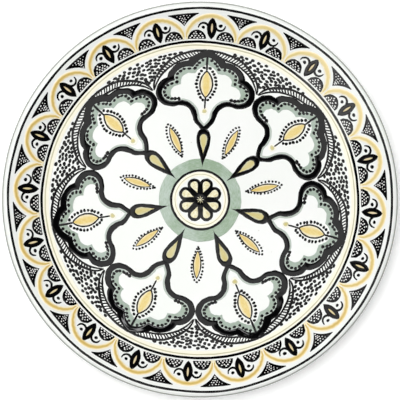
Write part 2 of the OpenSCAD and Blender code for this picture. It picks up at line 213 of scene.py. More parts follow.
def layStrips(name, left, right, height, base=0.0, across=7, closed=False, flat=False, grow=0.0):
    # strokes between two plan curves (copies, stations, 2), each edge pushed out by grow and all laid on the
    # glaze: height times one less the fourth power of the way from the middle, or a flat top whose rolled
    # edges rise as a square; the underside lies just inside the glaze
    left, right = np.asarray(left, float), np.asarray(right, float)
    if left.ndim == 2:
        left, right = left[None], right[None]
    if grow:
        over = right - left
        over = grow * over / np.maximum(np.hypot(*np.moveaxis(over, -1, 0)), 0.02)[..., None]
        left, right = left - over, right + over
    k, n = left.shape[:2]
    s = np.linspace(0, 1, across)
    if flat:
        top = np.linspace(edgeRoll, 1 - edgeRoll, across - 6)
        s = np.concatenate([[0, 0.015, 0.045], top, [0.955, 0.985, 1]])
    # the underside follows the glaze too, so that it can't rise through the top where the plate is hollow
    ring = np.concatenate([s, np.linspace(1, 0, 5)])
    plan = left[:, :, None] * (1 - ring)[:, None] + right[:, :, None] * ring[:, None]
    along = np.concatenate([np.zeros((k, 1)), np.cumsum(np.hypot(
        *np.moveaxis(np.diff((left + right) / 2, axis=1), -1, 0)), axis=1)], axis=1)
    side = np.minimum(s, 1 - s)
    rise = 1 - (1 - np.minimum(side / edgeRoll, 1)) ** 2 if flat else 1 - (1 - 2 * side) ** 4
    r = len(ring)
    lift = np.broadcast_to(np.concatenate([base + height * rise, [-layer["sink"]] * 5]), (k, n, r)).copy()
    if not closed:
        lift[:, [0, -1], :across] = base * 0.3
    plan = handWarp(plan)
    z = glazeTop(np.hypot(plan[..., 0], plan[..., 1])) + lift
    verts = np.concatenate([plan, z[..., None]], -1)
    i = np.arange(n if closed else n - 1)[:, None]
    j = np.arange(r)[None]
    face = np.stack([i * r + j, i * r + (j + 1) % r, (i + 1) % n * r + (j + 1) % r, (i + 1) % n * r + j], -1)
    faces = np.arange(k)[:, None, None, None] * n * r + face[None]
    middle = (left + right) / 2
    length = np.concatenate([along, along[:, -1:] + np.hypot(*np.moveaxis(
        middle[:, :1] - middle[:, -1:], -1, 0))], axis=1)
    # the brush map counts centimetres along a stroke, each copy from its own start, and 0 to 1 across it
    seed = np.arange(k)[:, None, None, None] * 3.7
    here, there = length[:, i + 0 * j], length[:, i + 1 + 0 * j]
    u = np.stack([here, here, there, there], -1) / 10 + seed
    v = np.stack([ring[j + 0 * i], ring[(j + 1) % r + 0 * i], ring[(j + 1) % r + 0 * i], ring[j + 0 * i]], -1)
    uv = np.stack([u, np.broadcast_to(v, u.shape)], -1)
    # the top of every copy has to face up
    points = verts.reshape(-1, 3)
    mid = faces[:, (n - 1) // 2, across // 2 - 1]
    e1, e2 = points[mid[:, 1]] - points[mid[:, 0]], points[mid[:, 3]] - points[mid[:, 0]]
    down = np.cross(e1, e2)[:, 2] < 0
    faces[down] = faces[down][..., ::-1]
    uv[down] = uv[down][..., ::-1, :]
    polys = [faces.reshape(-1, 4)]
    uvs = [uv.reshape(-1, 4, 2)]
    if not closed:
        capRing = np.arange(r)
        start = np.arange(k)[:, None] * n * r + capRing
        end = start + (n - 1) * r
        start = np.where(down[:, None], start, start[:, ::-1])
        end = np.where(down[:, None], end[:, ::-1], end)
        caps = np.concatenate([start, end])
        polys.append(caps)
        uvs.append(np.full(caps.shape + (2,), 0.5))
    return meshFrom(name, points, polys, uvs)


def layDots(name, centres, radii, height, base=0.0, sides=10):
    # one low dome for each touch of the brush: its outline is a circle swayed by two and three waves, and
    # four rings and a tip rise inside it
    centres = handWarp(np.asarray(centres, float))
    radii = np.asarray(radii, float)
    k = len(centres)
    turn = np.arange(sides) * 2 * np.pi / sides
    sway = rng.uniform(0, 2 * np.pi, (k, 2, 1))
    outline = 1 + 0.07 * np.cos(2 * turn + sway[:, 0]) + 0.05 * np.cos(3 * turn + sway[:, 1])
    rho = np.array([1, 1, 0.82, 0.45])
    lift = np.array([-layer["sink"], base, base + 0.6 * height, base + 0.93 * height])
    out = np.arctan2(centres[:, 1], centres[:, 0])[:, None]
    a = radii[:, :1] * outline * np.cos(turn)   # along the ring
    b = radii[:, 1:] * outline * np.sin(turn)   # away from the middle
    dx = -a * np.sin(out) + b * np.cos(out)
    dy = a * np.cos(out) + b * np.sin(out)
    x = centres[:, :1, None] + rho[None, :, None] * dx[:, None]
    y = centres[:, 1:, None] + rho[None, :, None] * dy[:, None]
    z = glazeTop(np.hypot(x, y)) + lift[None, :, None]
    body = np.stack([x, y, z], -1).reshape(k, -1, 3)
    tip = np.concatenate([centres, (glazeTop(np.hypot(*centres.T)) + base + height)[:, None]], 1)
    verts = np.concatenate([body, tip[:, None]], 1)
    per = 4 * sides + 1
    i, j = np.arange(3)[:, None], np.arange(sides)[None]
    nxt = (j + 1) % sides
    # seen from above, a and b turn clockwise, so the rings are joined the other way round
    quads = np.stack([i * sides + j, (i + 1) * sides + j, (i + 1) * sides + nxt, i * sides + nxt], -1)
    quads = quads.reshape(-1, 4)
    tris = np.stack([3 * sides + j[0], np.full(sides, 4 * sides), 3 * sides + nxt[0]], -1)
    start = (np.arange(k) * per)[:, None]
    bottom = start + np.arange(sides)[None]
    rhoOf = np.repeat([0, 0, 0.09, 0.27], sides)
    uvVert = np.stack([np.tile(turn, 4), rhoOf], -1)
    uvVert = np.concatenate([uvVert, [[0, 0.5]]])
    polys = [(quads[None] + start[..., None]).reshape(-1, 4), (tris[None] + start[..., None]).reshape(-1, 3),
             bottom]
    uvs = [np.tile(uvVert[quads], (k, 1, 1, 1)), np.tile(uvVert[tris], (k, 1, 1, 1)), np.zeros((k, sides, 2))]
    flip = np.cross(verts[0, sides + 1] - verts[0, sides], tip[0] - verts[0, sides])[2] > 0
    if flip:
        polys = [p[:, ::-1] for p in polys[:2]] + [polys[2]]
        uvs = [uvs[0][..., ::-1, :], uvs[1][..., ::-1, :], uvs[2]]
    else:
        polys[2] = polys[2][:, ::-1]
    return meshFrom(name, verts.reshape(-1, 3), polys, uvs)


def brushed(name, left, right, height, material, slot, nodes=(), **how):
    # strokes as one piece
    addPiece(name, layStrips(name, left, right, height, **how), material, nodes)


def dotted(name, centres, radii, height, material, slot, nodes=(), **how):
    # touches of the brush as one piece
    addPiece(name, layDots(name, centres, radii, height, **how), material, nodes)


# plan curves are in mm, u across a motif and v out from the plate's middle
def evenly(curve, n):
    # the same curve at n stations of equal length
    t = np.concatenate([[0], np.cumsum(np.hypot(*np.diff(curve, axis=0).T))])
    s = np.linspace(0, t[-1], n)
    return np.stack([np.interp(s, t, curve[:, 0]), np.interp(s, t, curve[:, 1])], -1)


def through(points, n):
    # a natural cubic through the points, counted in chord length
    p = np.array(points, float)
    m = len(p)
    if m == 2:
        return evenly(p, n)
    t = np.concatenate([[0], np.cumsum(np.hypot(*np.diff(p, axis=0).T))])
    h = np.diff(t)
    rows = np.arange(1, m - 1)
    a = np.eye(m)
    a[rows, rows - 1], a[rows, rows], a[rows, rows + 1] = h[:-1], 2 * (h[:-1] + h[1:]), h[1:]
    bend = np.zeros_like(p)
    bend[1:-1] = 6 * np.diff(np.diff(p, axis=0) / h[:, None], axis=0)
    bend = np.linalg.solve(a, bend)
    s = np.linspace(0, t[-1], 40 * m)
    i = np.clip(np.searchsorted(t, s, side="right") - 1, 0, m - 2)
    d, e, w = (s - t[i])[:, None], (t[i + 1] - s)[:, None], h[i][:, None]
    curve = (bend[i] * e ** 3 + bend[i + 1] * d ** 3) / (6 * w)
    curve += (p[i] / w - bend[i] * w / 6) * e + (p[i + 1] / w - bend[i + 1] * w / 6) * d
    return evenly(curve, n)


def joined(runs, counts):
    # smooth runs that meet in corners, each corner kept once
    parts = [through(r, c) for r, c in zip(runs, counts)]
    return np.concatenate([parts[0]] + [q[1:] for q in parts[1:]])


def mirrored(curve):
    # u changes sign
    return curve * [-1, 1]


def roundAbout(curve, axes):
    # copies of a motif: u is to the right of each axis and v along it, axes in degrees from +X
    axes = np.atleast_1d(axes)[:, None]
    u, v = np.asarray(curve, float)[:, 0], np.asarray(curve, float)[:, 1]
    return np.stack([v * cosD(axes) + u * sinD(axes), v * sinD(axes) - u * cosD(axes)], -1)


def edgesOf(path, width):
    # both edges of a stroke of the given width (one value, or one for each station)
    step = np.gradient(path, axis=0)
    side = np.stack([-step[:, 1], step[:, 0]], -1) / np.hypot(*step.T)[:, None]
    half = np.broadcast_to(np.asarray(width, float) / 2, len(path))[:, None]
    return path + side * half, path - side * half


def unsteady(curves, amount, waves=5):
    # edges pushed in and out by a few slow waves, each copy with its own
    n = curves.shape[1]
    t = np.linspace(0, 1, n)[None, :, None, None]
    phase = rng.uniform(0, 2 * np.pi, (len(curves), 1, 2, waves))
    beat = rng.uniform(2, n / 5 + 2.5, (len(curves), 1, 2, waves)).round()
    return curves + amount / math.sqrt(waves) * np.sin(2 * np.pi * beat * t + phase).sum(-1)


def ringCurve(radius, n):
    # n points round a circle, without the first one again
    turn = np.arange(n) * 2 * np.pi / n
    return np.stack([radius * np.cos(turn), radius * np.sin(turn)], -1)


def almond(v, h, w, n):
    # the two arcs of a pointed oval from its lower tip to its upper: each is part of a circle whose radius is
    # the reach plus w, with reach (h squared less w squared) over 2 w
    reach = (h * h - w * w) / (2 * w)
    sweep = math.atan2(h, reach)
    t = np.linspace(-sweep, sweep, n)
    right = np.stack([(reach + w) * np.cos(t) - reach, v + (reach + w) * np.sin(t)], -1)
    return right, mirrored(right)


def teardrop(v0, v1, w, n):
    # both halves of a teardrop: width w sin t sin squared half t over 0.65, height from v0 to v1 by cos t
    t = np.linspace(0, np.pi, n)
    u = w * np.sin(t) * np.sin(t / 2) ** 2 / 0.65
    right = np.stack([u, (v0 + v1) / 2 - (v1 - v0) / 2 * np.cos(t)], -1)
    return right, mirrored(right)


def loopOf(right, left):
    # up the right half and down the left, each tip once
    return np.concatenate([right, left[::-1][1:-1]])


def newMaterial(name):
    # a material, its nodes and links, and its shader
    mat = bpy.data.materials.new(name)
    mat.use_nodes = True
    tree = mat.node_tree
    return mat, tree.nodes, tree.links, tree.nodes["Principled BSDF"]


def linear(c):
    # display colour 0 to 255 as linear light
    c = np.array(c, float) / 255
    lin = np.where(c <= 0.04045, c / 12.92, ((c + 0.055) / 1.055) ** 2.4)
    return tuple(lin) + (1.0,)


def noiseNode(nodes, links, vector, scale, detail=3.0, rough=0.55):
    # noise about a half, scale waves to the metre
    n = nodes.new("ShaderNodeTexNoise")
    n.inputs["Scale"].default_value = scale
    n.inputs["Detail"].default_value = detail
    n.inputs["Roughness"].default_value = rough
    links.new(vector, n.inputs["Vector"])
    return n.outputs["Fac"]


def rampNode(nodes, links, fac, stops):
    # colours between stops of (place, colour)
    r = nodes.new("ShaderNodeValToRGB")
    ramp = r.color_ramp
    ramp.elements[0].position, ramp.elements[0].color = stops[0]
    ramp.elements[1].position, ramp.elements[1].color = stops[-1]
    for pos, col in stops[1:-1]:
        e = ramp.elements.new(pos)
        e.color = col
    links.new(fac, r.inputs["Fac"])
    return r.outputs["Color"]


def mathNode(nodes, links, operation, a, b=None, clamp=False):
    # one sum on numbers or sockets, b left alone where it isn't given
    m = nodes.new("ShaderNodeMath")
    m.operation = operation
    m.use_clamp = clamp
    for socket, value in zip(m.inputs, (a, b)):
        if value is None:
            continue
        if isinstance(value, (int, float)):
            socket.default_value = value
        else:
            links.new(value, socket)
    return m.outputs[0]


def mixNode(nodes, links, fac, a, b):
    # colour a where fac is 0 and b where it is 1
    m = nodes.new("ShaderNodeMix")
    m.data_type = "RGBA"
    links.new(fac, m.inputs["Factor"])
    for socket, value in zip((m.inputs["A"], m.inputs["B"]), (a, b)):
        if isinstance(value, tuple):
            socket.default_value = value
        else:
            links.new(value, socket)
    return m.outputs["Result"]


def bumpInto(nodes, links, shader, height, strength, distance):
    # relief of the given height on the shader's normal, distance in metres
    b = nodes.new("ShaderNodeBump")
    b.inputs["Strength"].default_value = strength
    b.inputs["Distance"].default_value = distance
    links.new(height, b.inputs["Height"])
    links.new(b.outputs["Normal"], shader.inputs["Normal"])


def mappingNode(nodes, links, vector, scale):
    # the same coordinates, each multiplied by its own scale
    m = nodes.new("ShaderNodeMapping")
    m.inputs["Scale"].default_value = scale
    links.new(vector, m.inputs["Vector"])
    return m.outputs["Vector"]


def glazeMaterial():
    # white glaze: faint green where it pools, sparse pinholes, the soft ripple of melted glass
    mat, nodes, links, shader = newMaterial("whiteGlaze")
    at = nodes.new("ShaderNodeTexCoord").outputs["Object"]
    pool = noiseNode(nodes, links, at, 22, 4)
    colour = rampNode(nodes, links, pool, [(0.3, linear((240, 243, 238))), (0.7, linear((244, 245, 243)))])
    pins = nodes.new("ShaderNodeTexVoronoi")
    pins.inputs["Scale"].default_value = 95
    links.new(at, pins.inputs["Vector"])
    hole = mathNode(nodes, links, "LESS_THAN", pins.outputs["Distance"], 0.035)
    where = mathNode(nodes, links, "GREATER_THAN", noiseNode(nodes, links, at, 37, 1), 0.56)
    hole = mathNode(nodes, links, "MULTIPLY", hole, where)
    fade = mathNode(nodes, links, "MULTIPLY", hole, 0.55)
    links.new(mixNode(nodes, links, fade, colour, linear((176, 168, 150))), shader.inputs["Base Color"])
    shader.inputs["Roughness"].default_value = 0.07
    shader.inputs["IOR"].default_value = 1.5
    ripple = noiseNode(nodes, links, at, 120, 2)
    bumpInto(nodes, links, shader, mathNode(nodes, links, "SUBTRACT", ripple, hole), 0.12, 0.0004)
    return mat


# the arches' ochre pales towards this azimuth, a painted highlight, between these distances along it in
# metres, by this share
archHighlight = {"towards": 42.0, "from": 0.02, "to": 0.14, "share": 0.75}


def enamelMaterial(name, core, edge, edgeWidth, streak, dark, roughness, thin=None, speck=0):
    # brushed enamel: thin at the stroke's edges and fuller inside, with streaks of the dark colour along the
    # brush's path; thin is a paler colour that the coat fades to towards one side of the plate, a painted
    # highlight, and speck is how strongly pigment gathers in millimetre spots
    mat, nodes, links, shader = newMaterial(name)
    coords = nodes.new("ShaderNodeTexCoord")
    uv, at = coords.outputs["UV"], coords.outputs["Object"]
    split = nodes.new("ShaderNodeSeparateXYZ")
    links.new(uv, split.inputs[0])
    fromMiddle = mathNode(nodes, links, "ABSOLUTE", mathNode(
        nodes, links, "SUBTRACT", mathNode(nodes, links, "MULTIPLY", split.outputs["Y"], 2), 1))
    inside = mathNode(nodes, links, "SUBTRACT", 1, fromMiddle)
    mottle = noiseNode(nodes, links, at, 260, 3)
    ragged = mathNode(nodes, links, "ADD", inside, mathNode(
        nodes, links, "MULTIPLY", mathNode(nodes, links, "SUBTRACT", mottle, 0.5), 0.35))
    full = mathNode(nodes, links, "DIVIDE", ragged, edgeWidth, clamp=True)
    brush = noiseNode(nodes, links, mappingNode(nodes, links, uv, (1.2, 6.0, 1)), 3.0, 4)
    brush = mathNode(nodes, links, "MULTIPLY", mathNode(nodes, links, "SUBTRACT", brush, 0.5), 2 * streak)
    broad = mathNode(nodes, links, "MULTIPLY", mathNode(
        nodes, links, "SUBTRACT", noiseNode(nodes, links, at, 45, 3), 0.5), 2 * streak)
    if speck:
        broad = mathNode(nodes, links, "ADD", broad, mathNode(nodes, links, "MULTIPLY", mathNode(
            nodes, links, "SUBTRACT", noiseNode(nodes, links, at, 850, 2), 0.5), 2 * speck))
    deep = mathNode(nodes, links, "ADD", mathNode(nodes, links, "ADD", 0.5, brush), broad, clamp=True)
    body = mixNode(nodes, links, deep, linear(core), linear(dark))
    # painted highlight: the coat pales to the thin colour towards one side of the plate
    if thin:
        across = nodes.new("ShaderNodeVectorMath")
        across.operation = "DOT_PRODUCT"
        links.new(at, across.inputs[0])
        across.inputs[1].default_value = (cosD(archHighlight["towards"]), sinD(archHighlight["towards"]), 0)
        away = nodes.new("ShaderNodeMapRange")
        links.new(across.outputs["Value"], away.inputs["Value"])
        away.inputs["From Min"].default_value = archHighlight["from"]
        away.inputs["From Max"].default_value = archHighlight["to"]
        away.inputs["To Max"].default_value = archHighlight["share"]
        body = mixNode(nodes, links, away.outputs[0], body, linear(thin))
    links.new(mixNode(nodes, links, full, linear(edge), body), shader.inputs["Base Color"])
    shader.inputs["Roughness"].default_value = roughness
    shader.inputs["IOR"].default_value = 1.5
    bumpInto(nodes, links, shader, mottle, 0.06, 0.0002)
    return mat


def clayMaterial():
    # bare fired clay: buff grog specks and the rings left by turning
    mat, nodes, links, shader = newMaterial("bareClay")
    at = nodes.new("ShaderNodeTexCoord").outputs["Object"]
    grain = noiseNode(nodes, links, at, 420, 5, 0.65)
    colour = rampNode(nodes, links, grain, [
        (0.3, linear((158, 132, 104))), (0.5, linear((196, 171, 140))), (0.72, linear((214, 192, 162)))])
    links.new(colour, shader.inputs["Base Color"])
    rings = nodes.new("ShaderNodeTexWave")
    rings.wave_type = "RINGS"
    rings.rings_direction = "Z"
    rings.inputs["Scale"].default_value = 420
    rings.inputs["Distortion"].default_value = 1.5
    links.new(at, rings.inputs["Vector"])
    turning = mathNode(nodes, links, "MULTIPLY", rings.outputs["Fac"], 0.6)
    shader.inputs["Roughness"].default_value = 0.86
    bumpInto(nodes, links, shader, mathNode(nodes, links, "ADD", turning, grain), 0.5, 0.0004)
    return mat


def cardMaterial(name, strength):
    # white light of the given strength, or a black card at none
    mat, nodes, links, shader = newMaterial(name)
    glow = nodes.new("ShaderNodeEmission")
    glow.inputs["Color"].default_value = (1.0, 1.0, 1.0, 1.0)
    glow.inputs["Strength"].default_value = strength
    links.new(glow.outputs[0], nodes["Material Output"].inputs["Surface"])
    return mat


whiteGlaze = glazeMaterial()
bareClay = clayMaterial()
# each enamel's full colour, its colour at a stroke's edges, the share of the width that is edge, the strength
# of its streaks, their colour, and its roughness; colours as shown on a display
blackEnamel = enamelMaterial("blackEnamel", (7, 7, 8), (12, 11, 11), 0.1, 0.2, (4, 4, 5), 0.045)
thinBlack = enamelMaterial("thinBlack", (34, 30, 24), (70, 60, 44), 0.4, 0.3, (20, 18, 15), 0.06)
archPale = enamelMaterial("archPale", (251, 240, 208), (253, 247, 228), 0.5, 0.25, (249, 236, 196), 0.08)
# its ochre pales towards one side of the plate, a painted highlight
archOchre = enamelMaterial("archOchre", (219, 190, 113), (246, 226, 172), 0.8, 0.5, (204, 172, 88), 0.08,
                           thin=(238, 224, 166))
heartOchre = enamelMaterial("heartOchre", (236, 219, 156), (243, 238, 216), 0.6, 0.8, (222, 190, 98), 0.08,
                            speck=0.4)
petalOchre = enamelMaterial("petalOchre", (238, 220, 158), (244, 236, 208), 0.6, 0.8, (216, 184, 92), 0.08)
paleOchre = enamelMaterial("paleOchre", (214, 206, 158), (204, 206, 184), 0.6, 0.8, (202, 186, 106), 0.08)
rosettePale = enamelMaterial("rosettePale", (243, 240, 212), (238, 234, 210), 0.4, 0.6, (220, 207, 150), 0.08,
                             speck=1.6)
slotPale = enamelMaterial("slotPale", (230, 212, 182), (190, 158, 110), 0.4, 0.7, (216, 206, 148), 0.08)
greenWash = enamelMaterial("greenWash", (176, 189, 181), (194, 205, 197), 0.2, 0.7, (152, 168, 150), 0.08)
ringGreen = enamelMaterial("ringGreen", (186, 200, 189), (184, 198, 186), 0.12, 1.5, (148, 170, 144), 0.08)
linerPale = enamelMaterial("linerPale", (206, 214, 208), (186, 198, 188), 0.5, 0.4, (196, 206, 198), 0.08)
shadeGreen = enamelMaterial("shadeGreen", (190, 199, 191), (214, 221, 215), 0.6, 0.4, (178, 189, 178), 0.08)
creamWash = enamelMaterial("creamWash", (250, 247, 230), (252, 250, 241), 0.45, 0.3, (248, 243, 219), 0.08)
beigeLine = enamelMaterial("beigeLine", (208, 205, 176), (222, 219, 192), 0.3, 0.5, (198, 193, 158), 0.08)
# the lip's grey-green line, made dark enough to also stand for the shade where the lip turns away: painted
# shade
lipEnamelAndShade = enamelMaterial("lipEnamelAndShade", (140, 146, 138), (158, 163, 154), 0.4, 0.3, (128, 134, 124), 0.09)
scratchedWhite = enamelMaterial("scratchedWhite", (250, 250, 248), (222, 222, 220), 0.3, 0.3, (240, 240, 237),
                                0.12)
print("materials: done")


def arcPath(cx, cz, radius, a0, a1, n):
    # points on a circle, the angle counted from straight down outwards
    a = np.linspace(a0, a1, n)
    return np.stack([cx + radius * sinD(a), cz - radius * cosD(a)], -1)


def upperPath(o):
    # the upper face pushed out by o along its normal, from the floor's middle to the lip's crest
    slope = plate["rimSlope"]
    flat = np.stack([np.linspace(0, floorR, 12)[:-1], np.full(11, floorZ + o)], -1)
    dish = arcPath(floorR, dishZ, plate["dishRadius"] - o, 0, plate["dishSlope"], 14)
    bend = arcPath(bendX, bendZ, plate["bendRadius"] - o, plate["dishSlope"], slope, 10)[1:]
    t = np.linspace(0, 1, 8)[1:-1, None]
    crest = lipPath(o, -slope, 0, 7)
    return np.concatenate([flat, dish, bend, bend[-1] + t * (crest[0] - bend[-1]), crest])


def lipPath(o, a0, a1, n):
    # points round the lip, the angle counted from straight up outwards
    a = np.linspace(a0, a1, n)
    return np.stack([lipX + (lipR + o) * sinD(a), lipZ + (lipR + o) * cosD(a)], -1)


def underPath(o):
    # the underside at depth o below the clay, from the lip in to the edge of the floor
    deep = plate["clay"] + o
    slope = plate["rimSlope"]
    bend = arcPath(bendX, bendZ, plate["bendRadius"] + deep, slope, plate["dishSlope"], 10)
    dish = arcPath(floorR, dishZ, plate["dishRadius"] + deep, plate["dishSlope"], 0, 14)[1:]
    return np.concatenate([bend, dish])


glazeEnd = {"bead": 0.3, "thin": 0.6}  # the glaze thins to nothing over this height, by way of this share
# where the lip line and its painted shade lie round the lip
lipBand = {"from": 45, "to": 74}       # degrees outwards from straight up


def makeBody():
    # clay, its glaze, the glaze inside the foot ring and the grey-green line on the lip, which is also
    # painted shade for the lip's turning edge, each a closed shell that meets the one below it
    g, slope = plate["glaze"], plate["rimSlope"]
    foot, edge = plate["footHeight"], plate["footEdge"]
    taper, bare = plate["footTaper"], plate["bareHeight"]
    outR = floorR - plate["footInset"]
    inR = outR - plate["footWidth"]
    lean = taper * (foot - bare) / (foot - edge)
    corner = np.linspace(0, 90, 7)
    outerRound = np.stack([outR - edge + (edge - taper) * cosD(corner), edge - edge * sinD(corner)], -1)
    innerRound = outerRound[::-1] * [-1, 1] + [outR + inR, 0]
    footPath = np.concatenate([[[outR, foot]], outerRound, innerRound, [[inR, foot], [0, foot]]])
    lip = lipPath(0, 0, 180 - slope, 22)[1:]
    clay = np.concatenate([upperPath(0), lip, underPath(0), footPath])
    addPiece("clayBody", turned("clayBody", clay), bareClay, ["clay_body"])
    bead, thin = bare + glazeEnd["bead"], g * glazeEnd["thin"]
    coat = np.concatenate([
        upperPath(g), lipPath(g, 0, 180 - slope, 22)[1:], underPath(g),
        [[outR + g, foot - g], [outR - lean + g, bead], [outR - lean + thin, bare], [outR - lean, bare]],
        [[outR, foot]], underPath(0)[::-1], lip[::-1], upperPath(0)[::-1]])
    addPiece("glazeCoat", turned("glazeCoat", coat), whiteGlaze, ["glaze_coat"])
    well = [[0, foot], [inR, foot], [inR + lean, bare], [inR + lean - thin, bare], [inR + lean - g, bead],
            [inR - g, foot - g], [inR * 0.5, foot - g], [0, foot - g]]
    addPiece("footWellGlaze", turned("footWellGlaze", well), whiteGlaze, ["foot_well_glaze"])
    start, end = lipBand["from"], lipBand["to"]
    band = np.concatenate([lipPath(g, start, end, 8), lipPath(g + layer["wash"], end, start, 8)])
    addPiece("lipLineAndShade", turned("lipLineAndShade", band, closed=True), lipEnamelAndShade, ["lip_line"])


makeBody()
print("body: done")

palmettes = {"count": 7, "first": 90.0}
arches = {
    "count": 20,
    "first": 88.75,        # azimuth of the first arch, in degrees
    "drift": 0.4,          # the spacing runs early or late by up to this many degrees, latest at driftAt
    "driftAt": 140.0,
    "centre": 112.5,       # where the arches' circles have their centre, and their radii
    "inner": 15.8,
    "outer": 19.9,
    "coreInner": 16.5,
    "coreOuter": 19.2,
    "footThin": 0.5,       # how much narrower the core is at its feet
    "sway": 0.12,
}
palmetteAxes = palmettes["first"] + 360 / palmettes["count"] * np.arange(palmettes["count"])
petalAxes = palmetteAxes + 180 / palmettes["count"]
archAxes = arches["first"] + 360 / arches["count"] * np.arange(arches["count"])
archAxes = archAxes + arches["drift"] * cosD(archAxes - arches["driftAt"])  # spaced by eye
spandrelAxes = archAxes + 180 / arches["count"]


# circles drawn on the banding wheel: mean radius and width; the black ones lie this far outside the CAD's
circles = {
    "blackShift": 0.08,
    "outerWidth": 1.7,
    "innerWidth": 1.8,
    "cream": (108.95, 4.5),
    "beige": (109.5, 0.85),
    "green": (25.15, 8.3),
    "medallion": (20.6, 1.85),
    "medallionCream": (18.15, 3.5),
    "fine": (17.9, 0.55),
}


def ring(name, middle, width, height, material, slot, nodes=(), base=0.0, uneven=0.05, across=7):
    # a full circle whose radius and width both sway a little
    n = max(96, int(middle * 3.2))
    inner, outer = ringCurve(middle - width / 2, n)[None], ringCurve(middle + width / 2, n)[None]
    sway = unsteady(np.zeros_like(inner), uneven, 9)[..., :1]
    unit = ringCurve(1, n)[None]
    pinch = unsteady(np.zeros_like(inner), uneven, 9)[..., :1]
    inner, outer = inner + unit * (sway - pinch), outer + unit * (sway + pinch)
    brushed(name, inner, outer, height, material, slot, nodes, base=base, across=across, closed=True)


def makeRimLines():
    # the two black circles, the cream band and the beige line on it
    shift = circles["blackShift"]
    ring("outerCircle", rimLineR + shift, circles["outerWidth"], layer["black"], blackEnamel, "black_enamel",
         ["outer_black_line"])
    ring("innerCircle", wellLineR + shift, circles["innerWidth"], layer["black"], blackEnamel, "black_enamel",
         ["inner_black_line"])
    ring("creamBand", *circles["cream"], layer["wash"], creamWash, "cream_wash", ["cream_band"], across=9)
    ring("beigeLine", *circles["beige"], 0.06, beigeLine, "cream_wash", base=layer["wash"] - 0.01)


def archEdge(radius, angles):
    # a half circle over the arch, held back where the neighbouring arch starts
    half = math.tan(math.radians(180 / arches["count"]))
    meet = sinD(angles) - cosD(angles) * half
    limit = np.where(meet > 0.05, arches["centre"] * half / np.maximum(meet, 0.05), 99)
    r = np.minimum(radius, limit)
    return np.stack([r * sinD(angles), arches["centre"] + r * cosD(angles)], -1)


def archStroke(inner, outer, sweep, n=72):
    # both edges of an arch's stroke, from its left foot over the top to its right foot
    a = np.linspace(-sweep, sweep, n)
    right = archEdge(outer, np.abs(a))
    left = archEdge(inner, np.abs(a))
    side = np.where(a < 0, -1, 1)[:, None] * [1, 0] + [[0, 1]]
    return left * side, right * side


def makeArches():
    # a wide pale stroke and a deeper core on it
    inner, outer = archStroke(arches["inner"], arches["outer"], 90)
    brushed("archWashes", roundAbout(inner, archAxes), roundAbout(outer, archAxes), layer["wash"],
            archPale, "ochre_enamel", ["rim_arches"], across=9)
    inner, outer = archStroke(arches["coreInner"], arches["coreOuter"], 86)
    # the stroke thins from the top down to both feet
    fall = np.abs(np.linspace(-1, 1, len(inner)))[:, None] ** 2 * arches["footThin"]
    inner, outer = inner + (outer - inner) * fall * 0.5, outer - (outer - inner) * fall * 0.5
    inner, outer = roundAbout(inner, archAxes), roundAbout(outer, archAxes)
    sway = unsteady(np.zeros_like(inner), arches["sway"], 2)
    brushed("archCores", inner + sway, outer + sway * 0.6, 0.03, archOchre, "ochre_enamel",
            base=layer["wash"])


leaf = {"v": 121.9, "half": 7.75, "width": 3.4, "slotV": 122.1, "slotHalf": 3.4, "slotWidth": 0.8}


def makeLeaves():
    # a black almond under each arch, with a slot left open for the pale ochre
    outer = almond(leaf["v"], leaf["half"], leaf["width"], 22)
    slot = almond(leaf["slotV"], leaf["slotHalf"], leaf["slotWidth"], 22)
    a, b = roundAbout(loopOf(*outer), archAxes), roundAbout(loopOf(*slot), archAxes)
    lean = rng.uniform(-0.25, 0.25, (len(archAxes), 1, 2))
    a, b = unsteady(a + lean, 0.07), unsteady(b + lean, 0.04)
    brushed("almondLeaves", a, b, layer["black"], blackEnamel, "black_enamel", ["almond_leaves"],
            across=6, closed=True, grow=ink["leaf"])
    right, left = (roundAbout(h, archAxes) + lean for h in slot)
    brushed("almondSlots", left, right, layer["wash"], slotPale, "pale_ochre_enamel", ["almond_slots"],
            across=5)


tendril = {
    "centre": (6.1, 123.9),   # of the right hook, u and v
    "pivotV": 122.9,          # the left hook is its half turn about this point of the axis
    "radius": 3.5,
    "from": 203.0,            # degrees round the centre
    "to": 364.0,
    "width": 1.15,
    "eye": 0.98,
}


def makeTendrils():
    # a short hook on each side of a leaf, part of a circle round an eye dot, thick where it leaves the leaf
    a = np.linspace(tendril["from"], tendril["to"], 20)
    cx, cy = tendril["centre"]
    path = np.stack([cx + tendril["radius"] * cosD(a), cy + tendril["radius"] * sinD(a)], -1)
    taper = tendril["width"] * np.interp(np.linspace(0, 1, 20), [0, 0.2, 0.75, 1], [1, 1.1, 0.8, 0.35])
    one, two = edgesOf(path, taper)
    twice = np.array([0, 2 * tendril["pivotV"]])
    left = np.concatenate([roundAbout(one, archAxes), roundAbout(twice - one, archAxes)])
    right = np.concatenate([roundAbout(two, archAxes), roundAbout(twice - two, archAxes)])
    shift = rng.uniform(-0.3, 0.3, (len(left), 1, 2))
    brushed("tendrils", unsteady(left + shift, 0.05), unsteady(right + shift, 0.05), layer["black"],
            blackEnamel, "black_enamel", ["tendrils"], across=5, grow=ink["fine"])
    eyes = np.array([tendril["centre"], twice - tendril["centre"]])
    spots = roundAbout(eyes, archAxes).reshape(-1, 2) + rng.uniform(-0.25, 0.25, (2 * len(archAxes), 2))
    size = (tendril["eye"] + ink["dot"]) * rng.uniform(0.88, 1.12, (len(spots), 1)) * [1.1, 0.95]
    dotted("rimDots", spots, size, layer["black"], blackEnamel, "black_enamel", ["rim_dots"])


